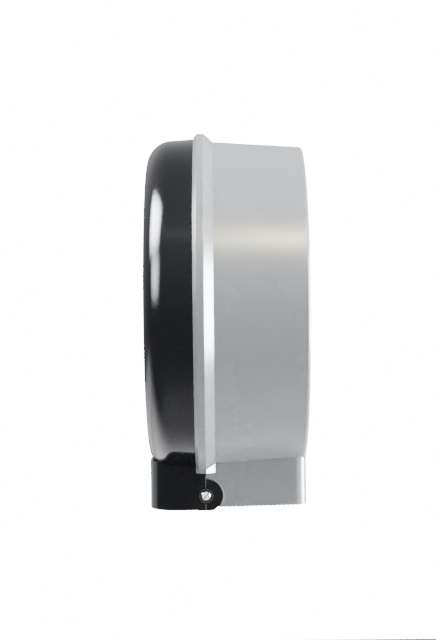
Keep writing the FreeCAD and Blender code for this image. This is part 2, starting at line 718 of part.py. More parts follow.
def hex_nut(label, half, bore, start, length, along, x="0", y="0", z="0"):
    body = new_body(label)
    sketch = new_sketch(body, "XY_Plane", start)
    add_outline(sketch, hexagon(half))
    add_circle(sketch, "0", "0", bore)
    pad = body.newObject("PartDesign::Pad", label + "_pad")
    pad.Profile = sketch
    pad.setExpression("Length", length)
    return place(body, along, x, y, z)


def pivot_nut(side):
    return hex_nut(f"pivot_nut_{side_name(side)}", "dims.nut_half", "dims.pivot_radius",
                   f"{LUG_IN} - dims.nut_thick", "dims.nut_thick", "+X" if side > 0 else "-X",
                   y=PIVOT_Y, z=PIVOT_Z)


# ---------------------------------------------------------------- spindle, hub and core adapter
def fixing_places():
    """Centres (x, z) of the spindle's screws, on a circle."""
    return [(f"dims.fixing_circle * {round(math.cos(angle), 6)}",
             f"dims.fixing_circle * {round(math.sin(angle), 6)}")
            for angle in (math.radians(90 + 120 * i) for i in range(3))]


def spindle_post():
    post = turned("spindle_blank", [
        ("0", BOSS_D),
        ("dims.flange_radius", BOSS_D),
        ("dims.flange_radius", FLANGE_D),
        ("dims.post_radius", FLANGE_D),
        ("dims.post_radius", "dims.post_end"),
        ("dims.retainer_shank", "dims.post_end"),
        ("dims.retainer_shank", "dims.post_end - dims.retainer_bite"),
        ("0", "dims.post_end - dims.retainer_bite"),
    ], along="-Y")
    cuts = []
    for index, (x, z) in enumerate(fixing_places()):
        cuts.append(disc(f"flange_hole_{index}", "dims.fixing_radius", f"{BOSS_D} - 1",
                         "dims.flange_thick + 2", "-Y", x=x, z=z))
        cuts.append(disc(f"flange_well_{index}", "dims.fixing_head", f"{FLANGE_D} - dims.fixing_sunk",
                         "dims.fixing_sunk + 1", "-Y", x=x, z=z))
    return take_away("spindle_post", post, cuts)


def spindle_screws():
    """Three screws with their heads sunk level with the flange."""
    top = size("back_wall") + size("boss_thick") + size("flange_thick") - size("fixing_below")
    seat = top + size("fixing_below") - size("fixing_sunk")
    tip = size("back_wall") / 2
    forward = Vector(0, -1, 0)
    solids = []
    for centre in holes_of("flange_hole", 3):
        x, z = centre.x, centre.z
        shank = Part.makeCylinder(size("fixing_radius"), seat - tip, Vector(x, -tip, z), forward)
        head = Part.makeCylinder(size("fixing_head"), top - seat, Vector(x, -seat, z), forward)
        slot = Part.makeBox(size("fixing_head") * 2, size("slot_depth"), size("slot_width"),
                            Vector(x - size("fixing_head"), -top, z - size("slot_width") / 2))
        solids.append(shank.fuse(head).removeSplitter().cut(slot))
    return built("spindle_screws", Part.makeCompound(solids))


def thrust_washer():
    return turned("thrust_washer", [
        ("dims.post_radius", FLANGE_D),
        ("dims.washer_radius", FLANGE_D),
        ("dims.washer_radius", f"{FLANGE_D} + dims.washer_thick"),
        ("dims.post_radius", f"{FLANGE_D} + dims.washer_thick"),
    ], along="-Y")


def hub_retainer():
    body = turned("hub_retainer", [
        ("0", "dims.post_end - dims.retainer_bite"),
        ("dims.retainer_shank", "dims.post_end - dims.retainer_bite"),
        ("dims.retainer_shank", "dims.post_end"),
        ("dims.retainer_radius", "dims.post_end"),
        ("dims.retainer_radius", "dims.post_end + dims.retainer_thick - dims.retainer_bevel"),
        ("dims.retainer_radius - dims.retainer_bevel", "dims.post_end + dims.retainer_thick"),
        ("0", "dims.post_end + dims.retainer_thick"),
    ], along="-Y")
    cut_slot(body, "dims.post_end + dims.retainer_thick", "dims.retainer_radius")
    return body


def roll_hub():
    bore = "(dims.post_radius + dims.run_gap)"
    return turned("roll_hub", [
        (bore, HUB_D),
        ("dims.hub_flange", HUB_D),
        ("dims.hub_flange", f"{HUB_D} + dims.hub_wall"),
        (f"{bore} + dims.hub_wall", f"{HUB_D} + dims.hub_wall"),
        (f"{bore} + dims.hub_wall", HUB_END),
        (bore, HUB_END),
    ], along="-Y")


def core_adapter():
    """Sleeve for the roll's core, joined to the hub by a web at each end."""
    hub = "(dims.post_radius + dims.run_gap + dims.hub_wall)"
    skin = "(dims.adapter_radius - dims.adapter_wall)"
    back = f"({HUB_D} + dims.hub_wall)"
    web = "dims.adapter_wall"
    front = f"({HUB_END} - dims.adapter_setback)"
    bevel = "dims.adapter_bevel"
    return turned("core_adapter", [
        (hub, back),
        ("dims.adapter_radius", back),
        ("dims.adapter_radius", f"{front} - {bevel}"),
        (f"dims.adapter_radius - {bevel}", front),
        (hub, front),
        (hub, f"{front} - {web}"),
        (f"{skin} - {bevel}", f"{front} - {web}"),
        (skin, f"{front} - {web} - {bevel}"),
        (skin, f"{back} + {web}"),
        (hub, f"{back} + {web}"),
    ], along="-Y")


# ---------------------------------------------------------------- lock and catch
def lock_barrel():
    return turned("lock_barrel", [
        ("dims.plug_radius + dims.run_gap", BARREL_END),
        ("dims.lock_body", BARREL_END),
        ("dims.lock_body", LOCK_SEAT),
        ("dims.lock_head", LOCK_SEAT),
        ("dims.lock_head", f"{LOCK_TOP} - dims.lock_bevel"),
        ("dims.lock_head - dims.lock_bevel", LOCK_TOP),
        ("dims.plug_radius + dims.run_gap", LOCK_TOP),
    ], y="-dims.lock_depth")


def lock_nut():
    return hex_nut("lock_nut", "dims.lock_nut_half", "dims.lock_body",
                   f"{LOCK_BOSS_Z} - dims.lock_nut_thick", "dims.lock_nut_thick", "+Z",
                   y="-dims.lock_depth")


def lock_plug():
    cam_under = f"({CAM_TOP} - dims.cam_thick)"
    body = turned("lock_plug", [
        ("dims.screw_radius", cam_under),
        ("dims.stub_radius", cam_under),
        ("dims.stub_radius", CAM_TOP),
        ("dims.plug_radius", CAM_TOP),
        ("dims.plug_radius", PLUG_TOP),
        ("0", PLUG_TOP),
        ("0", f"{cam_under} + dims.cam_screw_bite"),
        ("dims.screw_radius", f"{cam_under} + dims.cam_screw_bite"),
    ], y="-dims.lock_depth")
    doc.recompute()
    sketch = new_sketch(body, "XY_Plane", PLUG_TOP)
    add_outline(sketch, [
        ("-dims.key_width / 2", "-dims.key_height / 2"),
        ("dims.key_width / 2", "-dims.key_height / 2"),
        ("dims.key_width / 2", "dims.key_height / 2"),
        ("-dims.key_width / 2", "dims.key_height / 2"),
    ])
    keyway = body.newObject("PartDesign::Pocket", "keyway")
    keyway.Profile = sketch
    keyway.setExpression("Length", "dims.key_depth")
    return body


def lock_cam():
    """Flat cam on the plug's stub. At rest it points forward and lets the catch pass."""
    body = prism("cam_blank", "XY_Plane", [
        ("-dims.cam_half", "-dims.lock_depth + dims.cam_half + dims.cam_tail"),
        ("dims.cam_half", "-dims.lock_depth + dims.cam_half + dims.cam_tail"),
        ("dims.cam_half", "-dims.lock_depth - dims.cam_reach"),
        ("-dims.cam_half", "-dims.lock_depth - dims.cam_reach"),
    ], f"{CAM_TOP} - dims.cam_thick", "dims.cam_thick")
    round_edges(body, is_upright, "dims.cam_round")
    hole = disc("cam_hole", "dims.stub_radius", f"{CAM_TOP} - dims.cam_thick - 1", "dims.cam_thick + 2",
                "+Z", y="-dims.lock_depth")
    return take_away("lock_cam", body, [hole])


def cam_screw():
    under = f"({CAM_TOP} - dims.cam_thick)"
    return turned("cam_screw", [
        ("0", f"{under} - dims.screw_head_thick"),
        ("dims.cam_screw_head - dims.head_bevel", f"{under} - dims.screw_head_thick"),
        ("dims.cam_screw_head", f"{under} - dims.screw_head_thick + dims.head_bevel"),
        ("dims.cam_screw_head", under),
        ("dims.screw_radius", under),
        ("dims.screw_radius", f"{under} + dims.cam_screw_bite"),
        ("0", f"{under} + dims.cam_screw_bite"),
    ], y="-dims.lock_depth")


def cover_catch():
    """Flat J-shaped plate under the cover's pad, its hook behind the cam's locked place."""
    body = prism("catch_blank", "XY_Plane", [
        ("dims.catch_outer", f"-{PAD_END}"),
        ("dims.catch_outer", f"-{HOOK_D} + dims.catch_hook"),
        ("dims.catch_start", f"-{HOOK_D} + dims.catch_hook"),
        ("dims.catch_start", f"-{HOOK_D}"),
        ("dims.catch_inner", f"-{HOOK_D}"),
        ("dims.catch_inner", f"-{PAD_END}"),
    ], f"{CATCH_TOP} - dims.catch_thick", "dims.catch_thick")
    holes = [disc(f"catch_clear_{index}", "dims.screw_radius", f"{CATCH_TOP} - dims.catch_thick - 1",
                  "dims.catch_thick + 2", "+Z", x="(dims.catch_inner + dims.catch_outer) / 2", y=y)
             for index, y in enumerate(catch_screw_places())]
    return take_away("cover_catch", body, holes)


def catch_screws():
    """Two screws up through the catch into the cover's pad."""
    centres = holes_of("catch_hole", 2)
    under = doc.getObject("cover_catch").Shape.BoundBox.ZMin
    solids = []
    for centre in centres:
        spot = Vector(centre.x, centre.y, under)
        shank = Part.makeCylinder(size("screw_radius"), size("catch_thick") + size("catch_bite"), spot)
        head = Part.makeCone(size("screw_head"), size("screw_head") - size("screw_head_taper"),
                             size("screw_head_thick"), spot, Vector(0, 0, -1))
        solids.append(shank.fuse(head).removeSplitter())
    return built("catch_screws", Part.makeCompound(solids))


# ---------------------------------------------------------------- build, test and write
nodes = [back_housing(), front_cover()]
for side in SIDES:
    nodes += [blade(side), blade_rivets(side), pivot_bush(side), pivot_screw(side), pivot_nut(side)]
nodes += [spindle_post(), spindle_screws(), thrust_washer(), hub_retainer(), roll_hub(), core_adapter()]
nodes += [lock_barrel(), lock_nut(), lock_plug(), lock_cam(), cam_screw(), cover_catch(), catch_screws()]
doc.recompute()

for item in doc.Objects:
    if "Invalid" in item.State or "Error" in item.State:
        raise RuntimeError(f"{item.Label} failed: {item.State}")
for node in nodes:
    if node.Shape.isNull() or not node.Shape.isValid():
        raise RuntimeError(f"{node.Label} has no valid shape")
    if not node.Shape.Solids:
        raise RuntimeError(f"{node.Label} has no solid")

for node in nodes:
    node.Shape.exportStep(os.path.join("parts", node.Label + ".step"))
    box = node.Shape.BoundBox
    print(f"{node.Label:22s} solids {len(node.Shape.Solids)}  volume {node.Shape.Volume:10.1f}"
          f"  x {box.XMin:7.1f} {box.XMax:7.1f}  y {box.YMin:7.1f} {box.YMax:7.1f}"
          f"  z {box.ZMin:7.1f} {box.ZMax:7.1f}")
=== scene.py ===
# %% [markdown]
# A wall-mounted dispenser for a jumbo tissue roll, finished for a studio picture.
# The working parts (drum housing, hinged cover, spindle, lock, blades and screws) come ready made
# and never move here. This lesson gives them their surfaces, adds the fine pieces that are easier
# to model by hand, and lights the object the way a product studio does.

# %% Load the fixed frame
import math

import bpy
from mathutils import Matrix, Vector


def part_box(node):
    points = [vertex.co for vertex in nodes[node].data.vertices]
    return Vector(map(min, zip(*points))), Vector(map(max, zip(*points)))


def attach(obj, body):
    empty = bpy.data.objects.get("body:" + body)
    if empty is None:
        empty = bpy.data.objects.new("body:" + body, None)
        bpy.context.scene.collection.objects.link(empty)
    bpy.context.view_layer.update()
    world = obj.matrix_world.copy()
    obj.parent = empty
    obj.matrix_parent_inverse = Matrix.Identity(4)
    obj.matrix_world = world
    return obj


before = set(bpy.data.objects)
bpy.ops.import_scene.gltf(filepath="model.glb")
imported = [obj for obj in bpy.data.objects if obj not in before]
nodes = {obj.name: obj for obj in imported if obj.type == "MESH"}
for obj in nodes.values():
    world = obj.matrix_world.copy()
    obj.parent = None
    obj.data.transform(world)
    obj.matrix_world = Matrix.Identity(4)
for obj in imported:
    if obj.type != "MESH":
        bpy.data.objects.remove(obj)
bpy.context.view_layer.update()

# %% [markdown]
# The hinge's line, the bush's size and the cover's lowest point are read from the parts' own boxes.
# Sizes that a box can't give, such as a slot's width, are named values in millimetres further down.

# %% Read the main places from the parts
MM = 0.001
cover_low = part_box("front_cover")[0]
screw_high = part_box("pivot_screw_right")[1]
bush_low, bush_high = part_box("pivot_bush_right")
pivot = Vector((0.0, (bush_low.y + bush_high.y) / 2, (bush_low.z + bush_high.z) / 2))
BUSH_RADIUS = (bush_high.y - bush_low.y) / 2
COVER_BOTTOM = cover_low.z
print("pivot", tuple(round(v / MM, 1) for v in pivot), "bush radius", round(BUSH_RADIUS / MM, 2),
      "cover bottom", round(COVER_BOTTOM / MM, 1))

# %% [markdown]
# The camera stands at the right-hand side of the dispenser, level with it, a little over a metre
# away. A long lens keeps the drum's round side from bulging. It is turned a touch about its own
# line of sight, because the real object leans that little bit.

# %% Camera
CAMERA_DISTANCE = 1.282
CAMERA_DEPTH = 0.0697
CAMERA_BELOW = 0.0118
LENS_MM = 86.9
LEAN = math.radians(0.55)

camera_data = bpy.data.cameras.new("side_camera")
camera_data.sensor_fit = "VERTICAL"
camera_data.sensor_height = 36.0
camera_data.lens = LENS_MM
camera = bpy.data.objects.new("side_camera", camera_data)
bpy.context.scene.collection.objects.link(camera)
right = Vector((0.0, math.cos(LEAN), -math.sin(LEAN)))
up = Vector((0.0, math.sin(LEAN), math.cos(LEAN)))
back = Vector((1.0, 0.0, 0.0))
turn = Matrix((right, up, back)).transposed().to_4x4()
camera.matrix_world = Matrix.Translation((CAMERA_DISTANCE, -CAMERA_DEPTH, -CAMERA_BELOW)) @ turn
bpy.context.scene.camera = camera
print("camera at", tuple(round(v, 3) for v in camera.location))


# %% [markdown]
# Node helpers. A material is a small graph of nodes, so short functions that add a node and join
# two sockets keep each finish easy to read.

# %% Node helpers
def add_node(tree, kind, **values):
    """Add a node and set its properties, or its inputs where the name is an input's name."""
    node = tree.nodes.new(kind)
    for name, value in values.items():
        label = name.replace("_", " ")
        if hasattr(node, name) and name not in node.inputs:
            setattr(node, name, value)
        elif label in node.inputs:
            node.inputs[label].default_value = value
        else:
            node.inputs[name].default_value = value
    return node


def join(tree, source, target):
    tree.links.new(source, target)


def colour(red, green, blue):
    return (red, green, blue, 1.0)


# %% [markdown]
# Three effects turn up in most of the finishes, so each is a node group made once.
# Moulded grain is the faint leathery texture that a spark-eroded mould leaves on plastic.
# Soft variation is a slow drift from light to dark, as light handling and dust leave it.
# Worn edges finds sharp outer corners, where a coating rubs through first.

# %% Shared effect: moulded grain
def new_group(name, inputs, outputs):
    group = bpy.data.node_groups.new(name, "ShaderNodeTree")
    for label, kind, value in inputs:
        socket = group.interface.new_socket(label, in_out="INPUT", socket_type=kind)
        socket.default_value = value
    for label, kind in outputs:
        group.interface.new_socket(label, in_out="OUTPUT", socket_type=kind)
    entry = group.nodes.new("NodeGroupInput")
    leave = group.nodes.new("NodeGroupOutput")
    return group, entry, leave


def build_grain():
    group, entry, leave = new_group(
        "moulded_grain",
        [("Scale", "NodeSocketFloat", 900.0), ("Depth", "NodeSocketFloat", 0.1),
         ("Waviness", "NodeSocketFloat", 0.1)],
        [("Normal", "NodeSocketVector")])
    place = add_node(group, "ShaderNodeTexCoord")
    fine = add_node(group, "ShaderNodeTexNoise", Detail=3.0, Roughness=0.6)
    join(group, place.outputs["Object"], fine.inputs["Vector"])
    join(group, entry.outputs["Scale"], fine.inputs["Scale"])
    wave = add_node(group, "ShaderNodeTexNoise", Scale=22.0, Detail=1.0)
    join(group, place.outputs["Object"], wave.inputs["Vector"])
    wide = add_node(group, "ShaderNodeBump", Distance=0.0006)
    join(group, wave.outputs["Fac"], wide.inputs["Height"])
    join(group, entry.outputs["Waviness"], wide.inputs["Strength"])
    bump = add_node(group, "ShaderNodeBump", Distance=0.00012)
    join(group, fine.outputs["Fac"], bump.inputs["Height"])
    join(group, entry.outputs["Depth"], bump.inputs["Strength"])
    join(group, wide.outputs["Normal"], bump.inputs["Normal"])
    join(group, bump.outputs["Normal"], leave.inputs["Normal"])
    return group


GRAIN = build_grain()
print("group", GRAIN.name)


# %% [markdown]
# The drift comes from one large noise. Its value is spread between a low and a high roughness, and the
# same noise is handed on as a mask, so that colour and gloss change together as dust makes them.

# %% Shared effect: soft variation
def build_variation():
    group, entry, leave = new_group(
        "soft_variation",
        [("Scale", "NodeSocketFloat", 14.0), ("Low", "NodeSocketFloat", 0.3),
         ("High", "NodeSocketFloat", 0.4)],
        [("Value", "NodeSocketFloat"), ("Mask", "NodeSocketFloat")])
    place = add_node(group, "ShaderNodeTexCoord")
    cloud = add_node(group, "ShaderNodeTexNoise", Detail=5.0, Roughness=0.55)
    join(group, place.outputs["Object"], cloud.inputs["Vector"])
    join(group, entry.outputs["Scale"], cloud.inputs["Scale"])
    spread = add_node(group, "ShaderNodeMapRange")
    spread.inputs["From Min"].default_value = 0.3
    spread.inputs["From Max"].default_value = 0.7
    join(group, cloud.outputs["Fac"], spread.inputs["Value"])
    join(group, entry.outputs["Low"], spread.inputs["To Min"])
    join(group, entry.outputs["High"], spread.inputs["To Max"])
    join(group, spread.outputs["Result"], leave.inputs["Value"])
    join(group, cloud.outputs["Fac"], leave.inputs["Mask"])
    return group


VARIATION = build_variation()
print("group", VARIATION.name)


# %% [markdown]
# Pointiness tells how sharply a surface turns. Only the sharpest outer corners pass the range, and a
# noise breaks them into patches, because wear is never even.

# %% Shared effect: worn edges
def build_wear():
    group, entry, leave = new_group(
        "worn_edges",
        [("Colour", "NodeSocketColor", colour(0.5, 0.5, 0.5)),
         ("Worn Colour", "NodeSocketColor", colour(0.7, 0.7, 0.7)),
         ("Amount", "NodeSocketFloat", 0.5)],
        [("Colour", "NodeSocketColor"), ("Mask", "NodeSocketFloat")])
    shape = add_node(group, "ShaderNodeNewGeometry")
    edge = add_node(group, "ShaderNodeMapRange")
    edge.inputs["From Min"].default_value = 0.52
    edge.inputs["From Max"].default_value = 0.62
    join(group, shape.outputs["Pointiness"], edge.inputs["Value"])
    place = add_node(group, "ShaderNodeTexCoord")
    patches = add_node(group, "ShaderNodeTexNoise", Scale=160.0, Detail=3.0)
    join(group, place.outputs["Object"], patches.inputs["Vector"])
    worn = add_node(group, "ShaderNodeMath", operation="MULTIPLY")
    join(group, edge.outputs["Result"], worn.inputs[0])
    join(group, patches.outputs["Fac"], worn.inputs[1])
    scaled = add_node(group, "ShaderNodeMath", operation="MULTIPLY")
    join(group, worn.outputs[0], scaled.inputs[0])
    join(group, entry.outputs["Amount"], scaled.inputs[1])
    mix = add_node(group, "ShaderNodeMix", data_type="RGBA")
    join(group, scaled.outputs[0], mix.inputs["Factor"])
    join(group, entry.outputs["Colour"], mix.inputs[6])
    join(group, entry.outputs["Worn Colour"], mix.inputs[7])
    join(group, mix.outputs[2], leave.inputs["Colour"])
    join(group, scaled.outputs[0], leave.inputs["Mask"])
    return group


WEAR = build_wear()
print("group", WEAR.name)


# %% [markdown]
# One function makes the plain part of every finish: a Principled shader with its colour slightly
# mottled, its gloss drifting a little, and a grain in its normal. Each finish then says only what
# is special about it.

# %% Base of every finish
def new_finish(name, base, rough, metallic=0.0, grain=(900.0, 0.08, 0.05), worn=None, worn_amount=0.5,
               mottle=0.04, drift=0.05, cloud_scale=14.0):
    material = bpy.data.materials.new(name)
    material.use_nodes = True
    tree = material.node_tree
    shader = tree.nodes["Principled BSDF"]
    shader.inputs["Metallic"].default_value = metallic

    drifted = add_node(tree, "ShaderNodeGroup", node_tree=VARIATION)
    drifted.inputs["Scale"].default_value = cloud_scale
    drifted.inputs["Low"].default_value = max(0.02, rough - drift)
    drifted.inputs["High"].default_value = min(1.0, rough + drift)
    join(tree, drifted.outputs["Value"], shader.inputs["Roughness"])

    mottled = add_node(tree, "ShaderNodeMix", data_type="RGBA")
    mottled.inputs[6].default_value = colour(*[c * (1 - mottle) for c in base])
    mottled.inputs[7].default_value = colour(*[min(1.0, c * (1 + mottle)) for c in base])
    join(tree, drifted.outputs["Mask"], mottled.inputs["Factor"])

    edges = add_node(tree, "ShaderNodeGroup", node_tree=WEAR)
    edges.inputs["Worn Colour"].default_value = colour(*(worn or [min(1.0, c * 1.3) for c in base]))
    edges.inputs["Amount"].default_value = worn_amount
    join(tree, mottled.outputs[2], edges.inputs["Colour"])
    join(tree, edges.outputs["Colour"], shader.inputs["Base Color"])

    bumps = add_node(tree, "ShaderNodeGroup", node_tree=GRAIN)
    bumps.inputs["Scale"].default_value = grain[0]
    bumps.inputs["Depth"].default_value = grain[1]
    bumps.inputs["Waviness"].default_value = grain[2]
    join(tree, bumps.outputs["Normal"], shader.inputs["Normal"])
    return material, shader


def dress(material, *names):
    """Give a material to CAD nodes, in every slot that they have."""
    for name in names:
        mesh = nodes[name].data
        if not mesh.materials:
            mesh.materials.append(material)
        for index in range(len(mesh.materials)):
            mesh.materials[index] = material
    print(material.name, "on", ", ".join(names))


# %% [markdown]
# The drum and neck are one moulding in silver-grey plastic. It is satin rather than matt: light
# from above draws one broad soft band along the drum. The grain is very fine, and the colour is a
# cool grey with almost no tint.

# %% Housing plastic
housing_plastic, shader = new_finish(
    "housing_plastic", (0.385, 0.405, 0.425), 0.27, grain=(1600.0, 0.10, 0.04), mottle=0.02, drift=0.03)
shader.inputs["Specular IOR Level"].default_value = 0.5
dress(housing_plastic, "back_housing")

# %% [markdown]
# The cover is smoke-dark plastic, polished on the outside. The real plastic lets a little light
# through where it is seen edge on; this finish has no transmission. Its colour comes almost only
# from what it mirrors, so it needs a low roughness and just a hint of ripple from the mould.

# %% Smoke cover
smoke_cover, shader = new_finish(
    "smoke_cover", (0.010, 0.011, 0.013), 0.10, grain=(700.0, 0.0, 0.02), mottle=0.1, drift=0.02,
    worn=(0.05, 0.052, 0.055), worn_amount=0.3)
shader.inputs["IOR"].default_value = 1.49
shader.inputs["Coat Weight"].default_value = 0.0
dress(smoke_cover, "front_cover")

# %% [markdown]
# The bushes are a hard, slippery plastic, a little paler than the cover and much less glossy, so
# they show as a fine ring around each screw.

# %% Bush plastic
bush_plastic, shader = new_finish("bush_plastic", (0.050, 0.052, 0.055), 0.36, mottle=0.05)
dress(bush_plastic, "pivot_bush_left", "pivot_bush_right")

# %% [markdown]
# The pivot screws are the one polished metal on the outside. They are fully metallic and smooth, and
# pick up one small bright reflection.

# %% Bright screws
bright_screw, shader = new_finish(
    "bright_screw", (0.93, 0.94, 0.96), 0.18, metallic=1.0, grain=(2500.0, 0.05, 0.0), mottle=0.02)
dress(bright_screw, "pivot_screw_left", "pivot_screw_right")

# %% [markdown]
# Nuts, rivets, the catch and the lock's cam are zinc plated. The plating is grey and slightly
# cloudy, so the variation is finer here than on the plastics.

# %% Zinc plate on the small steel parts
fastener_steel, shader = new_finish(
    "fastener_steel", (0.56, 0.57, 0.58), 0.32, metallic=1.0, grain=(1800.0, 0.1, 0.0), mottle=0.08,
    cloud_scale=120.0)
dress(fastener_steel, "blade_rivets_left", "blade_rivets_right", "pivot_nut_left", "pivot_nut_right",
      "spindle_screws", "lock_nut", "cover_catch", "catch_screws", "lock_cam", "cam_screw")

# %% [markdown]
# The saw-toothed strips are stainless steel, darker than the plating and bright only where the
# teeth's corners have rubbed.

# %% Blade steel
blade_steel, shader = new_finish(
    "blade_steel", (0.20, 0.205, 0.21), 0.38, metallic=1.0, grain=(2200.0, 0.2, 0.0), mottle=0.08,
    worn=(0.6, 0.6, 0.6), worn_amount=0.6, cloud_scale=90.0)
dress(blade_steel, "tear_blade_left", "tear_blade_right")

# %% [markdown]
# The lock's barrel and plug are nickel plated: bright, smooth and nearly even.

# %% Lock metal
lock_metal, shader = new_finish(
    "lock_metal", (0.72, 0.73, 0.74), 0.22, metallic=1.0, grain=(2000.0, 0.05, 0.0), mottle=0.04)
dress(lock_metal, "lock_barrel", "lock_plug")

# %% [markdown]
# The post and hub are black moulded plastic with a coarser grain, the sleeve is mid-grey, and the
# washer is the milky plastic that bearings are made of.

# %% Inner plastics
inner_plastic, shader = new_finish(
    "inner_plastic", (0.045, 0.047, 0.050), 0.45, grain=(1100.0, 0.25, 0.05), mottle=0.06)
dress(inner_plastic, "spindle_post", "hub_retainer", "roll_hub")
adapter_plastic, shader = new_finish(
    "adapter_plastic", (0.28, 0.29, 0.31), 0.42, grain=(1100.0, 0.22, 0.05), mottle=0.04)
dress(adapter_plastic, "core_adapter")
bearing_plastic, shader = new_finish(
    "bearing_plastic", (0.75, 0.75, 0.72), 0.35, grain=(900.0, 0.1, 0.0), mottle=0.03)
dress(bearing_plastic, "thrust_washer")


# %% [markdown]
# Fine pieces. Some small shapes say a lot about how the dispenser is made: the moulding line down
# each ear, the bead around the pocket that the ear turns in, and the ribs that stiffen the back wall.
# A dark strip in each screw's slot is painted shade. Each is a primitive that is shaped with ordinary
# edit steps, fixed in its mesh, and then rides on the body it belongs to.

# %% Helpers for modelled pieces
def only_select(*things):
    bpy.ops.object.select_all(action="DESELECT")
    for thing in things:
        thing.select_set(True)
    bpy.context.view_layer.objects.active = things[0]


def block(middle, size, turn=0.0, around="X"):
    """A box by its middle and its three sizes, turned about one axis."""
    bpy.ops.object.select_all(action="DESELECT")
    spin = {"X": (turn, 0.0, 0.0), "Y": (0.0, turn, 0.0)}[around]
    bpy.ops.mesh.primitive_cube_add(size=1.0, location=middle, rotation=spin)
    piece = bpy.context.active_object
    piece.scale = size
    return piece


def settle(piece, name, body, material, rounding=0.0):
    """Fix a piece's place in its mesh, soften its edges, and let it ride on a body."""
    piece.name = name
    only_select(piece)
    bpy.ops.object.transform_apply(location=True, rotation=True, scale=True)
    if rounding:
        soft = piece.modifiers.new("soft_edges", "BEVEL")
        soft.width = rounding
        soft.segments = 2
        bpy.ops.object.modifier_apply(modifier=soft.name)
    bpy.ops.object.mode_set(mode="EDIT")
    bpy.ops.mesh.select_all(action="SELECT")
    bpy.ops.mesh.normals_make_consistent(inside=False)
    bpy.ops.object.mode_set(mode="OBJECT")
    bpy.ops.object.shade_smooth_by_angle(angle=math.radians(35))
    piece.data.materials.clear()
    piece.data.materials.append(material)
    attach(piece, body)
    print(name, len(piece.data.polygons), "faces on", body)


EAR_FACE = 48.0 * MM
SIDES = ((1, "right"), (-1, "left"))

# %% [markdown]
# A thin dark strip fills the lower part of each screw slot, at the same slant as the slot. Its
# dark colour is painted shade, standing in for the shadow deep in the slot.

# %% Painted shade in the screw slots
SLOT_TURN = math.radians(42)
SLOT_SHADE_SIZE = (0.30 * MM, 0.78 * MM, 6.2 * MM)
SLOT_SHADE_SUNK = 0.30 * MM
# painted shade: a near-black rough finish standing in for the shadow inside each slot
painted_slot_shade, shader = new_finish("painted_slot_shade", (0.03, 0.03, 0.032), 0.7, grain=(2500.0, 0.3, 0.0), mottle=0.3)
for side, label in SIDES:
    middle = (side * (screw_high.x - SLOT_SHADE_SUNK), pivot.y, pivot.z)
    strip = block(middle, SLOT_SHADE_SIZE, turn=-SLOT_TURN)
    settle(strip, f"slot_shade_strip_{label}", "housing", painted_slot_shade)

# %% [markdown]
# The two halves of the cover's mould meet on the hinge line and leave a fine raised line above and
# below each bush. Its pale grey colour is painted highlight, standing in for the light that its edge
# catches.

# %% Moulding lines on the ears
LINE_THICK = 0.24 * MM
LINE_WIDE = 0.34 * MM
LINE_FORWARD = 0.35 * MM
BUSH_CLEAR = 0.3 * MM
LINE_TOP = 21.0 * MM
LINE_ABOVE_EDGE = 0.4 * MM
# painted highlight: pale grey on the black cover, standing in for light caught along the line's edge
painted_edge_highlight, shader = new_finish("painted_edge_highlight", (0.22, 0.23, 0.24), 0.35, grain=(1500.0, 0.1, 0.0))
line_bottom = COVER_BOTTOM - pivot.z + LINE_ABOVE_EDGE
for side, side_label in SIDES:
    for label, low, high in (("upper", BUSH_RADIUS + BUSH_CLEAR, LINE_TOP),
                             ("lower", line_bottom, -BUSH_RADIUS - BUSH_CLEAR)):
        middle = (side * EAR_FACE, pivot.y - LINE_FORWARD, pivot.z + (low + high) / 2)
        line = block(middle, (LINE_THICK, LINE_WIDE, high - low))
        settle(line, f"mould_line_{label}_{side_label}", "front_cover", painted_edge_highlight,
               rounding=0.06 * MM)

# %% [markdown]
# A bead runs around the pocket in each of the housing's cheeks. It is half of a thin ring, cut away
# where the cover passes.

# %% Pocket beads
BEAD_RADIUS = 14.0 * MM
BEAD_THICK = 0.32 * MM
BEAD_SUNK = 0.05 * MM
BEAD_BEHIND = 1.2 * MM
BEAD_BELOW = 8.0 * MM
for side, label in SIDES:
    bpy.ops.object.select_all(action="DESELECT")
    bpy.ops.mesh.primitive_torus_add(major_radius=BEAD_RADIUS, minor_radius=BEAD_THICK,
                                     major_segments=160, minor_segments=10,
                                     location=(side * (EAR_FACE - BEAD_SUNK), pivot.y, pivot.z),
                                     rotation=(0.0, math.pi / 2, 0.0))
    bead = bpy.context.active_object
    bpy.ops.object.transform_apply(location=True, rotation=True, scale=True)
    bpy.ops.object.mode_set(mode="EDIT")
    for point, outward in (((0.0, pivot.y + BEAD_BEHIND, 0.0), (0.0, -1.0, 0.0)),
                           ((0.0, 0.0, pivot.z - BEAD_BELOW), (0.0, 0.0, -1.0))):
        bpy.ops.mesh.select_all(action="SELECT")
        bpy.ops.mesh.bisect(plane_co=point, plane_no=outward, use_fill=True, clear_outer=True)
    bpy.ops.object.mode_set(mode="OBJECT")
    settle(bead, f"pocket_bead_{label}", "housing", housing_plastic)

# %% [markdown]
# Inside, ribs run outward from the spindle's boss to a ring rib. They show when the cover is open
# and there is no roll.

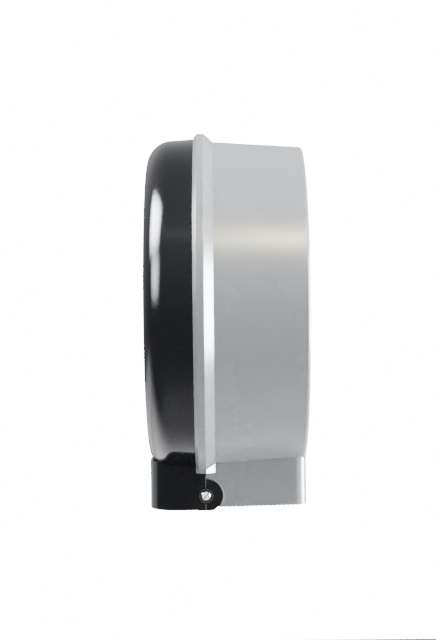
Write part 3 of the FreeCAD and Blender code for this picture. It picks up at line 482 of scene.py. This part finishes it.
# %% Back wall ribs
RIB_HEIGHT = 2.6 * MM
RIB_THICK = 1.6 * MM
RIB_INNER = 26.5 * MM
RIB_OUTER = 98.0 * MM
RING_RADIUS = 99.0 * MM
RIB_COUNT = 12
FIRST_RIB = 15
BACK_FACE = -3.0 * MM
rib_middle = BACK_FACE - RIB_HEIGHT / 2
ribs = []
for index in range(RIB_COUNT):
    turn = math.radians(360 / RIB_COUNT * index + FIRST_RIB)
    reach = (RIB_INNER + RIB_OUTER) / 2
    middle = (reach * math.cos(turn), rib_middle, -reach * math.sin(turn))
    ribs.append(block(middle, (RIB_OUTER - RIB_INNER, RIB_HEIGHT, RIB_THICK), turn=turn, around="Y"))
only_select(*ribs)
bpy.ops.object.join()
settle(ribs[0], "back_ribs", "housing", housing_plastic, rounding=0.3 * MM)
bpy.ops.object.select_all(action="DESELECT")
bpy.ops.mesh.primitive_cylinder_add(vertices=160, radius=RING_RADIUS, depth=RIB_HEIGHT,
                                    end_fill_type="NOTHING", location=(0.0, rib_middle, 0.0),
                                    rotation=(math.pi / 2, 0.0, 0.0))
ring = bpy.context.active_object
thick = ring.modifiers.new("wall", "SOLIDIFY")
thick.thickness = RIB_THICK
bpy.ops.object.modifier_apply(modifier=thick.name)
settle(ring, "ring_rib", "housing", housing_plastic, rounding=0.3 * MM)

# %% [markdown]
# Studio. The object stands out against plain white, as on a product sheet. The surroundings come in
# two layers. What lights matt surfaces is an even grey room with a big soft light overhead. What
# glossy surfaces mirror is a darker room with a pale floor, a soft glow at the height of the warm
# light, and a few bright panels. A glossy dark cover shows only what it mirrors, so each panel is
# put where one highlight needs it.

# %% World
WHITE = 24.0
MIRRORED = [
    # height of the direction (-1 down, 1 up), brightness
    (-1.00, 0.95), (-0.90, 0.75), (-0.77, 0.36), (-0.60, 0.25), (-0.17, 0.21), (0.05, 0.28),
    (0.30, 0.38), (0.50, 0.48), (0.67, 0.60), (0.75, 1.15), (0.80, 0.60), (0.93, 0.45), (1.00, 0.38),
]
MIRRORED_BEHIND = [
    (-1.0, 1.6), (-0.85, 2.5), (-0.6, 3.4), (-0.45, 2.5), (-0.34, 1.3), (-0.2, 0.5), (-0.1, 0.28),
    (0.1, 0.45), (0.4, 0.75), (0.75, 0.55), (1.0, 0.35),
]
ROOM = [(-1.0, 0.44), (0.0, 0.66), (1.0, 1.05)]


def ramp(tree, source, stops, low=-1.0, high=1.0):
    """Brightness as a smooth function of one value, given as (value, brightness) stops."""
    spread = add_node(tree, "ShaderNodeMapRange")
    spread.inputs["From Min"].default_value = low
    spread.inputs["From Max"].default_value = high
    join(tree, source, spread.inputs["Value"])
    curve = add_node(tree, "ShaderNodeValToRGB")
    elements = curve.color_ramp.elements
    while len(elements) < len(stops):
        elements.new(0.5)
    for element, (value, level) in zip(elements, sorted(stops)):
        element.position = (value - low) / (high - low)
        element.color = colour(level, level, level * 1.03)
    join(tree, spread.outputs["Result"], curve.inputs["Fac"])
    return curve.outputs["Color"]


def build_world():
    world = bpy.data.worlds.new("studio")
    bpy.context.scene.world = world
    world.use_nodes = True
    tree = world.node_tree
    tree.nodes.clear()
    output = add_node(tree, "ShaderNodeOutputWorld")
    place = add_node(tree, "ShaderNodeTexCoord")
    axes = add_node(tree, "ShaderNodeSeparateXYZ")
    join(tree, place.outputs["Generated"], axes.inputs[0])

    room = add_node(tree, "ShaderNodeBackground")
    join(tree, ramp(tree, axes.outputs["Z"], ROOM), room.inputs["Color"])

    front = ramp(tree, axes.outputs["Z"], MIRRORED)
    behind = ramp(tree, axes.outputs["Z"], MIRRORED_BEHIND)
    side = add_node(tree, "ShaderNodeMapRange", interpolation_type="SMOOTHSTEP")
    side.inputs["From Min"].default_value = 0.05
    side.inputs["From Max"].default_value = -0.5
    join(tree, axes.outputs["X"], side.inputs["Value"])
    mirrored = add_node(tree, "ShaderNodeMix", data_type="RGBA")
    join(tree, side.outputs["Result"], mirrored.inputs["Factor"])
    join(tree, front, mirrored.inputs[6])
    join(tree, behind, mirrored.inputs[7])
    glossy = add_node(tree, "ShaderNodeBackground")
    join(tree, mirrored.outputs[2], glossy.inputs["Color"])

    path = add_node(tree, "ShaderNodeLightPath")
    light = add_node(tree, "ShaderNodeMixShader")
    join(tree, path.outputs["Is Glossy Ray"], light.inputs[0])
    join(tree, room.outputs[0], light.inputs[1])
    join(tree, glossy.outputs[0], light.inputs[2])
    paper = add_node(tree, "ShaderNodeBackground", Strength=WHITE)
    mix = add_node(tree, "ShaderNodeMixShader")
    join(tree, path.outputs["Is Camera Ray"], mix.inputs[0])
    join(tree, light.outputs[0], mix.inputs[1])
    join(tree, paper.outputs[0], mix.inputs[2])
    join(tree, mix.outputs[0], output.inputs["Surface"])


build_world()
print("world ready")


# %% [markdown]
# Each panel is an area light, some of them with faded edges. Panels marked as mirrored add a
# highlight without changing the general light, and panels marked as matt do the opposite.

# %% Soft panels
def soften(data, edge):
    """Fade a panel's light towards its edges, the way a softbox's front cloth does."""
    data.use_nodes = True
    tree = data.node_tree
    emission = tree.nodes["Emission"]
    shape = add_node(tree, "ShaderNodeNewGeometry")
    across = add_node(tree, "ShaderNodeSeparateXYZ")
    join(tree, shape.outputs["Parametric"], across.inputs[0])
    fades = []
    for axis in ("X", "Y"):
        inward = add_node(tree, "ShaderNodeMath", operation="PINGPONG")
        inward.inputs[1].default_value = 0.5
        join(tree, across.outputs[axis], inward.inputs[0])
        fade = add_node(tree, "ShaderNodeMapRange", interpolation_type="SMOOTHSTEP")
        fade.inputs["From Max"].default_value = edge
        join(tree, inward.outputs[0], fade.inputs["Value"])
        fades.append(fade.outputs["Result"])
    both = add_node(tree, "ShaderNodeMath", operation="MULTIPLY")
    join(tree, fades[0], both.inputs[0])
    join(tree, fades[1], both.inputs[1])
    join(tree, both.outputs[0], emission.inputs["Strength"])


def panel(name, place, target, width, height, power, tint=(1.0, 1.0, 1.0), roll=0.0, only=None, edge=0.0,
          pieces=()):
    """Rectangular light. With only="mirrored" it shows in reflections alone, with only="matt" never.
    Pieces names the parts that it lights, when that isn't all of them."""
    data = bpy.data.lights.new(name, "AREA")
    data.shape = "RECTANGLE"
    data.size = width
    data.size_y = height
    data.energy = power
    data.color = tint
    if edge:
        soften(data, edge)
    lamp = bpy.data.objects.new(name, data)
    bpy.context.scene.collection.objects.link(lamp)
    aim = (Vector(target) - Vector(place)).to_track_quat("-Z", "Y").to_matrix().to_4x4()
    lamp.matrix_world = Matrix.Translation(place) @ aim @ Matrix.Rotation(math.radians(roll), 4, "Z")
    lamp.visible_camera = False
    if only == "mirrored":
        lamp.visible_diffuse = False
    if only == "matt":
        lamp.visible_glossy = False
    if pieces:
        chosen = bpy.data.collections.new(name + "_pieces")
        for piece in pieces:
            chosen.objects.link(nodes[piece])
        lamp.light_linking.receiver_collection = chosen
    print(name, "at", place)
    return lamp


MIDDLE = (0.0, -0.06, 0.0)
COOL = (0.90, 0.96, 1.0)
WARM = (1.0, 0.90, 0.54)
panel("shoulder_low", (0.56, -1.17, 0.36), MIDDLE, 1.12, 0.84, 88.0, COOL, only="mirrored", edge=0.45)
panel("shoulder_high", (0.18, -1.10, 0.87), MIDDLE, 1.30, 0.92, 450.0, COOL, roll=24.0, only="mirrored",
      edge=0.4)
panel("low_card", (-0.20, -0.40, -0.19), (0.0, -0.12, -0.15), 0.62, 0.15, 0.35, COOL, only="mirrored",
      edge=0.2)
panel("rim_right", (0.10, 1.40, 0.0), MIDDLE, 0.60, 0.98, 560.0, COOL, only="mirrored", edge=0.1)
panel("rim_fill", (-0.02, 1.40, 0.0), MIDDLE, 0.50, 1.10, 85.0, only="matt")
panel("warm_strip", (0.91, 0.46, 1.02), MIDDLE, 0.80, 0.20, 52.0, WARM, only="mirrored")
panel("hinge_glint", (1.30, -0.092, -0.294), (0.05, -0.08, -0.152), 0.14, 0.14, 0.2, only="mirrored",
      pieces=("pivot_screw_right",))
panel("overhead", (0.36, 0.0, 1.35), MIDDLE, 1.2, 1.0, 34.0, only="matt")

# %% [markdown]
# The floor is a plain pale sheet well below the dispenser, which hangs on its wall mount.

# %% Floor
FLOOR_DROP = 0.9
bpy.ops.object.select_all(action="DESELECT")
bpy.ops.mesh.primitive_plane_add(size=6.0, location=(0.0, 0.0, -FLOOR_DROP))
floor = bpy.context.active_object
floor.name = "studio_floor"
pale_floor, shader = new_finish("pale_floor", (0.36, 0.36, 0.36), 0.8, grain=(60.0, 0.02, 0.0), mottle=0.01)
floor.data.materials.append(pale_floor)
floor.visible_glossy = False
print("floor at", -FLOOR_DROP)
